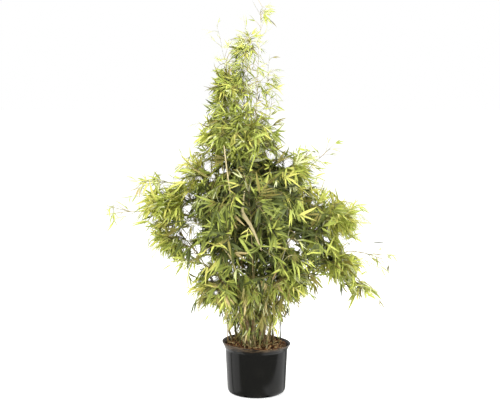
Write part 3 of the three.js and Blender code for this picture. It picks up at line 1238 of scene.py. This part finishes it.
def thinned(points, depth, rng):
    # Which sprays stay once the clearings are cut and the outside of the crown is broken up into clumps.
    low, high = cadBox
    kept = np.ones(len(points), bool)
    for across, up, halfX, halfZ, front, share in clearings:
        x = (points[:, 0] - low.x - across * (high.x - low.x)) / halfX
        z = (points[:, 2] - up * high.z) / halfZ
        kept &= ~((x**2 + z**2 < 1) & (points[:, 1] < front) & (rng.random(len(points)) > share))
    lumps = np.array([noise.noise(Vector(p) * porosity["scale"]) for p in points])
    offLine = np.abs(points[:, 0] - porosity["spireLine"]) > porosity["spireHalf"]
    onSpire = np.where(offLine, porosity["spireBelow"], porosity["lineBelow"])
    below = np.where(points[:, 2] > porosity["spire"], onSpire, porosity["below"])
    loose = (lumps < below) & (depth < porosity["depth"])
    return kept & ~(loose & (rng.random(len(points)) < porosity["lost"]))


def spacedOut(points, count):
    # A few of the points, as far from each other as they come.
    chosen = [0]
    away = np.linalg.norm(points - points[0], axis=1)
    while len(chosen) < min(count, len(points)):
        far = int(away.argmax())
        chosen.append(far)
        away = np.minimum(away, np.linalg.norm(points - points[far], axis=1))
    return points[chosen]


class Limbs:
    # The places that a new limb can grow from, with the way the old limb runs there.
    def __init__(self):
        self.place = np.zeros((0, 3))
        self.way = np.zeros((0, 3))

    def add(self, place, way):
        self.place = np.vstack([self.place, place])
        self.way = np.vstack([self.way, way])

    def parentOf(self, end, forward):
        # The nearest place, but one that the old limb passes on its way towards the end is better.
        gap = end - self.place
        away = np.linalg.norm(gap, axis=1)
        return int((away - forward * (gap * self.way).sum(1)).argmin())


def curvedPaths(starts, ways, ends, lift, steps):
    # Curves that leave the parent along its own way and then turn out to their end.
    span = np.linalg.norm(ends - starts, axis=1)[:, None]
    control = starts + ways * span * 0.38 + (ends - starts) * 0.16
    control[:, 2] += lift * span[:, 0]
    t = np.linspace(0, 1, steps)[None, :, None]
    return (1 - t) ** 2 * starts[:, None] + 2 * t * (1 - t) * control[:, None] + t * t * ends[:, None]


def axisAt(points):
    # The middle of the plant beside each point.
    return np.stack([np.full(len(points), plantLine), np.zeros(len(points)), points[:, 2]], 1)


def depthIn(points, outward):
    # How much foliage lies outside each point.
    found = []
    for p, way in zip(points, outward):
        place, _, _, distance = crownTree.ray_cast(Vector(p + way * farOut), Vector(-way))
        found.append(farOut - distance if place is not None else 0.0)
    return np.array(found)


def growMass(mass, limbs, finishes, rng):
    # A packed mass as what grows in it: boughs from the culms, twigs from the boughs, and sprays of leaves.
    plan = dict(zip(growthParts, growth[mass]))
    seats = seatsIn(mass, plan["sprays"], seatPlan["inset"] * plan["leaf"], rng)
    for other, count in bridges.get(mass, {}).items():
        seats = np.vstack([seats, bridgeSeats(mass, other, count, rng)])
    outward = unit((seats - axisAt(seats)) * (1, 1, 0) + rng.normal(0, 0.01, seats.shape))
    depth = depthIn(seats, outward)
    keep = (depth < sprayPlan["tooDeep"]) | (rng.random(len(seats)) < sprayPlan["keepDeep"])
    if plan["sprays"] > sprayPlan["few"]:
        keep &= thinned(seats, depth, rng)
        seats, outward, depth = seats[keep], outward[keep], depth[keep]

    own = Limbs()
    low, high = (np.array(c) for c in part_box("foliage_" + mass))
    near = ((limbs.place > low - 0.25) & (limbs.place < high + 0.12)).all(1)
    own.add(limbs.place[near], limbs.way[near])
    ends = spacedOut(seats, max(2, len(seats) // boughPlan["seatsToBough"]))
    parents = [own.parentOf(end, boughPlan["forward"]) for end in ends]
    boughs = curvedPaths(own.place[parents], own.way[parents], ends, boughPlan["lift"], boughPlan["points"])
    ways = unit(np.gradient(boughs, axis=1))
    own.add(boughs[:, 2:].reshape(-1, 3), ways[:, 2:].reshape(-1, 3))

    parents = [own.parentOf(end, twigPlan["forward"]) for end in seats]
    starts, startWays = own.place[parents], own.way[parents]
    fine = np.linalg.norm(seats - starts, axis=1) < twigPlan["longest"]
    seats, outward, depth, starts, startWays = (a[fine] for a in (seats, outward, depth, starts, startWays))
    ends = seats + twigPlan["past"] * unit(outward + rng.normal(0, twigPlan["stray"], seats.shape))
    twigs = curvedPaths(starts, startWays, ends, twigPlan["lift"], twigPlan["points"])
    return dress(mass, twigs, outward, depth, plan, finishes, rng, boughs, "foliage_" + mass)


def growWhips(mass, count, limbs, plan, rng):
    # Long twigs that leave a mass and hang out past it.
    seats = seatsIn(mass, 4 * count, plan["inset"], rng)
    outward = unit((seats - axisAt(seats)) * (1, 1, 0.4) + rng.normal(0, 0.05, seats.shape))
    seats, outward = seats[:count], outward[:count]
    out = seats + outward * rng.uniform(*plan["reach"], (count, 1)) * plan["further"]
    margin = np.array([plan["margin"], plan["margin"], 0.0])
    boxed = ((out > np.array(cadBox[0]) + margin) & (out < np.array(cadBox[1]) - margin)).all(1)
    outside = ~inCrown(out) & boxed
    seats, outward, out = seats[outside], outward[outside], out[outside]
    parents = [limbs.parentOf(p, twigPlan["forward"]) for p in seats]
    starts = seats * 0.7 + limbs.place[parents] * 0.3
    ways = unit(seats - starts + (0, 0, 0.02))
    return curvedPaths(starts, ways, out, plan["lift"], twigPlan["points"]), outward


def growTips(culms, rng):
    # Short twigs straight off the culms, all the way up to their tips.
    paths, outward, kinds = [], [], []
    for culm in culms:
        kind = culm.name.split("_")[1]
        plan = dict(zip(tipParts, tipPlan[kind]))
        runs = np.arange(plan["bare"] * culm.length, culm.length, plan["space"])
        runs = runs + rng.uniform(-0.4, 0.4, len(runs)) * plan["space"]
        place, way, side, _ = culm.at(runs)
        turn = np.arange(len(runs)) * math.pi + rng.normal(0, 0.7, len(runs))
        off = side * np.cos(turn)[:, None] + np.cross(way, side) * np.sin(turn)[:, None]
        reach = rng.uniform(*plan["reach"], (len(runs), 1)) * np.linspace(1.2, 0.6, len(runs))[:, None]
        ends = place + off * reach + way * reach * rng.uniform(0.4, 1.5, (len(runs), 1))
        paths.append(curvedPaths(place, unit(way + off * 0.6), ends, 0.0, twigPlan["points"]))
        outward.append(off)
        kinds.extend([kind] * len(runs))
    return np.concatenate(paths), np.concatenate(outward), np.array(kinds)


def dress(name, twigs, outward, depth, plan, finishes, rng, boughs=None, *replaced):
    # The wood and the leaves of one part of the crown, as two pieces.
    leafKinds, leafMaterials, twigMaterials = finishes
    woods = [(twigs, twigPlan)] if boughs is None else [(boughs, boughPlan), (twigs, twigPlan)]
    groups, deal = [], []
    for paths, size in woods:
        t = np.linspace(0, 1, paths.shape[1])
        radii = np.tile(size["thick"] + (size["thin"] - size["thick"]) * t, (len(paths), 1))
        groups.append(tubes(paths, radii, size["sides"]))
        tone = rng.choice(len(twigTones), len(paths), p=twigPlan["tones"])
        deal.append(np.repeat(tone, len(groups[-1][2]) // len(paths)))
    wood = pieceFromArrays("twigs_" + name, *joined(groups), twigMaterials, np.concatenate(deal))
    handOver(wood, "stem")
    leaves = makeLeaves("leaves_" + name, twigs, outward, depth, plan, leafKinds, leafMaterials, rng)
    handOver(leaves, "foliage", *replaced)
    return len(leaves.data.polygons)


def varied(limits, count, rng):
    mean, spread, least, most = limits
    return np.clip(rng.normal(mean, spread, count), least, most)


def dealTones(depth, plan, rng):
    # A tone for each spray: its plan's tones, turning into the darker ones inside the crown as painted
    # shade.
    shares = np.array(toneShares[plan["tones"]])
    shadedShares = np.array(toneShares[shadedTones.get(plan["tones"], "heart")])
    tones = []
    for inner in np.clip((depth - sprayPlan["deepFrom"]) / sprayPlan["deepOver"], 0, 1):
        mixed = shares * (1 - inner) + shadedShares * inner
        tones.append(rng.choice(len(mixed), p=mixed / mixed.sum()))
    return np.array(tones)


def makeLeaves(name, twigs, outward, depth, plan, leafKinds, leafMaterials, rng):
    own = sprayPlan
    count = len(twigs)
    numbers = rng.integers(*plan.get("leaves", own["leaves"]), count)
    spray = np.repeat(np.arange(count), numbers)
    order = np.concatenate([np.arange(n) for n in numbers])
    share = 1 - own["reach"] * order / numbers[spray]
    steps = twigs.shape[1] - 1
    slotAt = np.clip(share * steps, 0, steps - 1e-6)
    index = slotAt.astype(int)
    part = (slotAt - index)[:, None]
    base = twigs[spray, index] * (1 - part) + twigs[spray, index + 1] * part
    way = unit(twigs[:, -1] - twigs[:, -3])[spray]
    facing = outward * own["out"] + np.array([0, 0, own["up"]])
    facing = unit(facing + rng.normal(0, own["anyWay"], outward.shape))[spray]
    facing = unit(facing - way * dot(facing, way))
    across = np.cross(way, facing)
    sideSign = np.where((order + spray) % 2 == 0, 1.0, -1.0)
    angle = np.radians(rng.uniform(*own["open"], len(spray))) * sideSign
    angle = np.where(order == 0, angle * own["first"], angle)
    leafWay = way * np.cos(angle)[:, None] + across * np.sin(angle)[:, None]
    sag = plan["droop"] * rng.uniform(*own["sag"], (len(spray), 1))
    leafWay = unit(leafWay + np.array([0, 0, -1.0]) * sag)
    leafWay = unit(leafWay + rng.normal(0, own["sway"], leafWay.shape))
    normal = unit(facing + rng.normal(0, own["roll"], facing.shape))
    normal = unit(normal - leafWay * dot(normal, leafWay))
    right = np.cross(leafWay, normal)
    length = plan["leaf"] * varied(own["length"], len(spray), rng)
    width = length * varied(own["width"], len(spray), rng)
    kinds = rng.integers(0, len(leafKinds), len(spray))

    tone = dealTones(depth, plan, rng)[spray]
    odd = rng.random(len(spray)) < own["oddLeaf"]
    tone = np.where(odd, np.clip(tone + rng.integers(-1, 2, len(spray)), 0, len(leafTones) - 2), tone)

    boxLow = np.array(cadBox[0]) - own["outOfBox"]
    boxHigh = np.array(cadBox[1]) + own["outOfBox"]
    reach = leafWay * length[:, None]
    fits = ((base + reach > boxLow) & (base + reach < boxHigh)).all(1)
    for along in (0.15, 0.5, 0.85):
        fits &= ~openTo(base + reach * along)
    groups, deal = [], []
    for kind, template in enumerate(leafKinds):
        mine = fits & (kinds == kind)
        placed = base[mine][:, None]
        for axis, side, size in ((0, right, width), (1, leafWay, length), (2, normal, length)):
            offsets = template[0][:, axis] * size[mine][:, None]
            placed = placed + side[mine][:, None] * offsets[:, :, None]
        groups.append(copies(template, placed))
        deal.append(np.repeat(tone[mine], len(template[2])))
    return pieceFromArrays(name, *joined(groups), leafMaterials, np.concatenate(deal))


# pot and soil

potShape = {
    "sides": 128,
    "foot": 0.85,  # radii as shares of the rim's
    "bodyTop": 0.907,
    "corner": 0.02,
    "cornerSteps": 6,
    "lipHeight": 0.024,
    "wall": 0.003,
    "bead": 0.0022,
    "lift": 0.0035,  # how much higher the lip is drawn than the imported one, and how far it leans
    "lean": 0.007,
    "drains": 8,
    "drainSize": (0.03, 0.014, 0.007),
}


def makePot(shape):
    top = potHigh.z
    foot, body, corner = shape["foot"] * rimRadius, shape["bodyTop"] * rimRadius, shape["corner"]
    wall, lipFoot = shape["wall"], top - shape["lipHeight"]
    deselectAll()
    start = foot - corner
    bpy.ops.mesh.primitive_circle_add(vertices=shape["sides"], radius=start, fill_type="NGON")
    pot = editStart("pot_shell")
    bpy.ops.mesh.select_all(action="SELECT")
    bpy.ops.mesh.inset(thickness=0.004)
    bpy.ops.transform.translate(value=(0, 0, 0.0015))
    pick(lambda co: co.xy.length > start - 0.001)
    state = {"height": 0.0, "radius": start}
    for i in range(1, shape["cornerSteps"] + 1):
        turn = i / shape["cornerSteps"] * math.pi / 2
        ringTo(corner * (1 - math.cos(turn)), start + corner * math.sin(turn), state)
    for share in (0.25, 0.5, 0.75, 0.97, 1.0):
        ringTo(corner + (lipFoot - corner) * share, foot + (body - foot) * share, state)
    ringTo(lipFoot + 0.002, body + 0.0022, state)
    for share in (0.35, 0.7, 1.0):
        flare = body + 0.0022 + (rimRadius - 0.001 - body - 0.0022) * share**1.4
        ringTo(lipFoot + 0.002 + (top - shape["bead"] * 2 - lipFoot - 0.002) * share, flare, state)
    ringTo(top - shape["bead"], rimRadius, state)
    ringTo(top - 0.0004, rimRadius - 0.0009, state)
    ringTo(top, rimRadius - 0.0022, state)
    ringTo(top - 0.0012, rimRadius - wall - 0.0012, state)
    ringTo(lipFoot + 0.002, body - wall, state)
    ringTo(lipFoot - 0.06, body - wall - 0.003, state)
    ringTo(corner, foot - wall, state)
    ringTo(wall, start, state)
    bpy.ops.mesh.edge_face_add()
    editEnd()
    for v in pot.data.vertices:
        x, y, z = v.co
        lip = max(0.0, (z - (lipFoot - 0.03)) / (top - lipFoot + 0.03))
        turn = math.atan2(y, x)
        wave = 0.001 * math.sin(3 * turn + 2.0)
        v.co.z += lip**2 * (shape["lift"] - shape["lean"] * x / rimRadius + wave)
        push = 1 + 0.006 * lip * math.sin(2 * turn - 0.4)
        v.co.x *= push
        v.co.y *= push
    cutDrains(pot, shape)
    pot.data.materials.append(potFinish())
    bpy.ops.object.shade_smooth_by_angle(angle=math.radians(40))
    handOver(pot, "pot", "pot")


def cutDrains(pot, shape):
    # Slots through the rounded foot.
    reach = shape["foot"] * rimRadius
    for i in range(shape["drains"]):
        turn = (i + 0.5) / shape["drains"] * 2 * math.pi
        deselectAll()
        place = (math.cos(turn) * (reach - 0.002), math.sin(turn) * (reach - 0.002), 0.0085)
        sizes = {"size": 1, "scale": shape["drainSize"]}
        bpy.ops.mesh.primitive_cube_add(location=place, rotation=(0, 0, turn), **sizes)
        cutter = editStart("cutter")
        bpy.ops.mesh.select_all(action="SELECT")
        bpy.ops.mesh.bevel(offset=0.0012, segments=2, affect="EDGES")
        bpy.ops.object.mode_set(mode="OBJECT")
        activate(pot)
        cut = pot.modifiers.new("drain", "BOOLEAN")
        cut.object = cutter
        cut.solver = "EXACT"
        applyModifiers(pot)
        bpy.data.objects.remove(cutter)


soilShape = {
    "sides": 96,
    "rings": 14,
    "edge": 0.001,
    "mound": 0.007,
    "crumb": 0.005,
    "back": 0.003,
    "lean": 0.005,
}


def soilHeight(x, y, shape):
    away = min(1.0, math.hypot(x, y) / soilHigh.x)
    coarse = noise.noise(Vector((x * 26, y * 26, 3.1)))
    fine = noise.noise(Vector((x * 70, y * 70, 1.7)))
    lump = coarse * 0.6 + fine * 0.4
    lift = shape["mound"] * (1 - away**2) + shape["crumb"] * lump * (1 - away**6)
    tilt = shape["back"] * (y / soilHigh.x) + shape["lean"] * (0.5 - x / soilHigh.x)
    return soilLevel + lift - shape["edge"] * away**7 + tilt


def makeSoil(shape):
    radius = soilHigh.x - 0.002
    deselectAll()
    disc = {"vertices": shape["sides"], "radius": radius, "fill_type": "NGON"}
    bpy.ops.mesh.primitive_circle_add(location=(0, 0, soilLevel), **disc)
    soil = editStart("soil_top")
    bpy.ops.mesh.select_all(action="SELECT")
    for _ in range(shape["rings"]):
        bpy.ops.mesh.inset(thickness=radius / (shape["rings"] + 1))
    bpy.ops.mesh.poke()
    bpy.ops.mesh.select_all(action="DESELECT")
    pick(lambda co: co.xy.length > radius - 1e-4)
    state = {"height": soilLevel, "radius": radius}
    ringTo(soilLevel - 0.03, radius - 0.009, state)
    ringTo(0.03, radius - 0.016, state)
    bpy.ops.mesh.edge_face_add()
    editEnd()
    for v in soil.data.vertices:
        if v.co.z > soilLevel - 0.001:
            v.co.z = soilHeight(v.co.x, v.co.y, shape)
    soil.data.materials.append(soilFinish())
    soil.data.shade_smooth()
    handOver(soil, "soil", "soil")


mulchPlan = {"chips": 900, "size": (0.006, 0.021), "lie": 0.35}
strawPlan = {"count": 46, "length": (0.02, 0.06), "thick": (0.0006, 0.0013), "curl": 0.35, "points": 7}


def turned(angles):
    # Rotation matrices from spins about Z and then small tips about X and Y.
    spin, tipX, tipY = angles.T
    c, s = np.cos(spin), np.sin(spin)
    z0 = np.zeros_like(c)
    one = np.ones_like(c)
    about = np.stack([c, -s, z0, s, c, z0, z0, z0, one], -1).reshape(-1, 3, 3)
    cx, sx = np.cos(tipX), np.sin(tipX)
    tip = np.stack([one, z0, z0, z0, cx, -sx, z0, sx, cx], -1).reshape(-1, 3, 3)
    cy, sy = np.cos(tipY), np.sin(tipY)
    roll = np.stack([cy, z0, sy, z0, one, z0, -sy, z0, cy], -1).reshape(-1, 3, 3)
    return about @ tip @ roll


def makeMulch(plan, chipKinds, rng):
    count = plan["chips"]
    reach = np.sqrt(rng.random(count)) * (soilHigh.x - 0.006)
    around = rng.uniform(0, 2 * math.pi, count)
    x, y = reach * np.cos(around), reach * np.sin(around)
    size = rng.uniform(*plan["size"], count) * rng.uniform(0.6, 1, count)
    z = np.array([soilHeight(a, b, soilShape) for a, b in zip(x, y)]) + size * 0.08
    lie = rng.normal(0, plan["lie"], (count, 2))
    turns = turned(np.stack([rng.uniform(0, 6.28, count), lie[:, 0], lie[:, 1]], 1))
    kinds = rng.integers(0, len(chipKinds), count)
    tones = rng.choice(5, count, p=(0.36, 0.26, 0.2, 0.14, 0.04))
    place = np.stack([x, y, z], 1)
    groups, deal = [], []
    for kind, template in enumerate(chipKinds):
        mine = kinds == kind
        local = template[0][None] * size[mine][:, None, None]
        placed = np.einsum("nij,nvj->nvi", turns[mine], local) + place[mine][:, None]
        groups.append(copies(template, placed))
        deal.append(np.repeat(tones[mine], len(template[2])))
    materials = [plainFinish(name, tone, 0.88, 0.2) for name, tone in chipTones.items()]
    chips = pieceFromArrays("bark_chips", *joined(groups), materials, np.concatenate(deal), False)
    handOver(chips, "soil")


def makeStraws(plan, rng):
    # Dry curled strips on the soil.
    paths, radii = [], []
    for _ in range(plan["count"]):
        reach = math.sqrt(rng.random()) * (soilHigh.x - 0.03)
        around = rng.uniform(0, 2 * math.pi)
        way = rng.uniform(0, 2 * math.pi)
        place = np.array([reach * math.cos(around), reach * math.sin(around)])
        step = rng.uniform(*plan["length"]) / plan["points"]
        path = []
        for _ in range(plan["points"]):
            if np.hypot(*place) > soilHigh.x - 0.006:
                place = place * 0.9
            path.append((*place, soilHeight(*place, soilShape) + rng.uniform(0.002, 0.006)))
            way += rng.normal(0, plan["curl"])
            place = place + (step * math.cos(way), step * math.sin(way))
        paths.append(path)
        radii.append(np.full(plan["points"], rng.uniform(*plan["thick"])))
    materials = [plainFinish("straw", chipTones["chip_straw"], 0.8, 0.2)]
    straws = pieceFromArrays("straws", *tubes(np.array(paths), np.array(radii), 4), materials)
    handOver(straws, "soil")


# everything in order

rng = np.random.default_rng(71)
makeCamera(view)
makeStudio(studio, room)
print("studio ready")

makePot(potShape)
makeSoil(soilShape)
chipKinds = [chipTemplate(chipShape, kind) for kind in range(chipShape["kinds"])]
makeMulch(mulchPlan, chipKinds, rng)
makeStraws(strawPlan, rng)
print("pot and soil ready")

culmFinishes = [culmFinish(name, *(sRgb(*tone) for tone in tones)) for name, tones in culmTones.items()]
internode = internodeTemplate(internodeShape)
culms = []
for stemName in stemNames:
    middles, radii = stemLine(stemName)
    line, radius, run = smoothLine(middles, radii, culmPlan["samples"])
    nearTop = (line[:, 2] / plantHeight - culmPlan["thinnerFrom"]) / culmPlan["thinnerOver"]
    radius = radius * (1 - culmPlan["thinner"] * np.clip(nearTop, 0, 1))
    culms.append(Culm(stemName, line, radius, run, rng, culmPlan))
makeCulms(culms, internode, internodeShape, culmPlan, culmFinishes)
shoots = growShoots(culms, shootPlan, culmPlan, rng)
makeShoots(shoots, internode, internodeShape, culmPlan, culmFinishes[0])
makeSheaths(culms + shoots, sheathTemplate(sheathShape), sheathPlan, rng)
makeCanes(canes)
print("culms ready")

limbs = Limbs()
for culm in culms + shoots:
    place, way, _, _ = culm.at(culm.joints[2:])
    limbs.add(place, way)
finishes = (
    [leafTemplate(leafShape, droop, twist) for droop, twist in leafShape["kinds"]],
    [plainFinish("leaf_" + name, tone, 0.5, 0.3) for name, tone in leafTones.items()],
    [plainFinish(name, tone, 0.6, 0.3) for name, tone in twigTones.items()],
)
faces = sum(growMass(mass, limbs, finishes, rng) for mass in massNames)
foot, footWays = growFoot(culms + shoots, footPlan, rng)
faces += dress("foot", foot, footWays, np.full(len(foot), footPlan["depth"]), footPlan, finishes, rng)
grown = [growWhips(mass, count, limbs, whipPlan, rng) for mass, count in whipPlan["from"].items()]
whips, whipWays = (np.concatenate(parts) for parts in zip(*grown))
faces += dress("whips", whips, whipWays, np.zeros(len(whips)), whipPlan, finishes, rng)
tips, tipWays, tipKinds = growTips(culms, rng)
for kind, parts in tipPlan.items():
    mine = tipKinds == kind
    plan = dict(zip(tipParts, parts))
    faces += dress("tips_" + kind, tips[mine], tipWays[mine], np.zeros(mine.sum()), plan, finishes, rng)
print("foliage ready:", faces, "leaf faces")
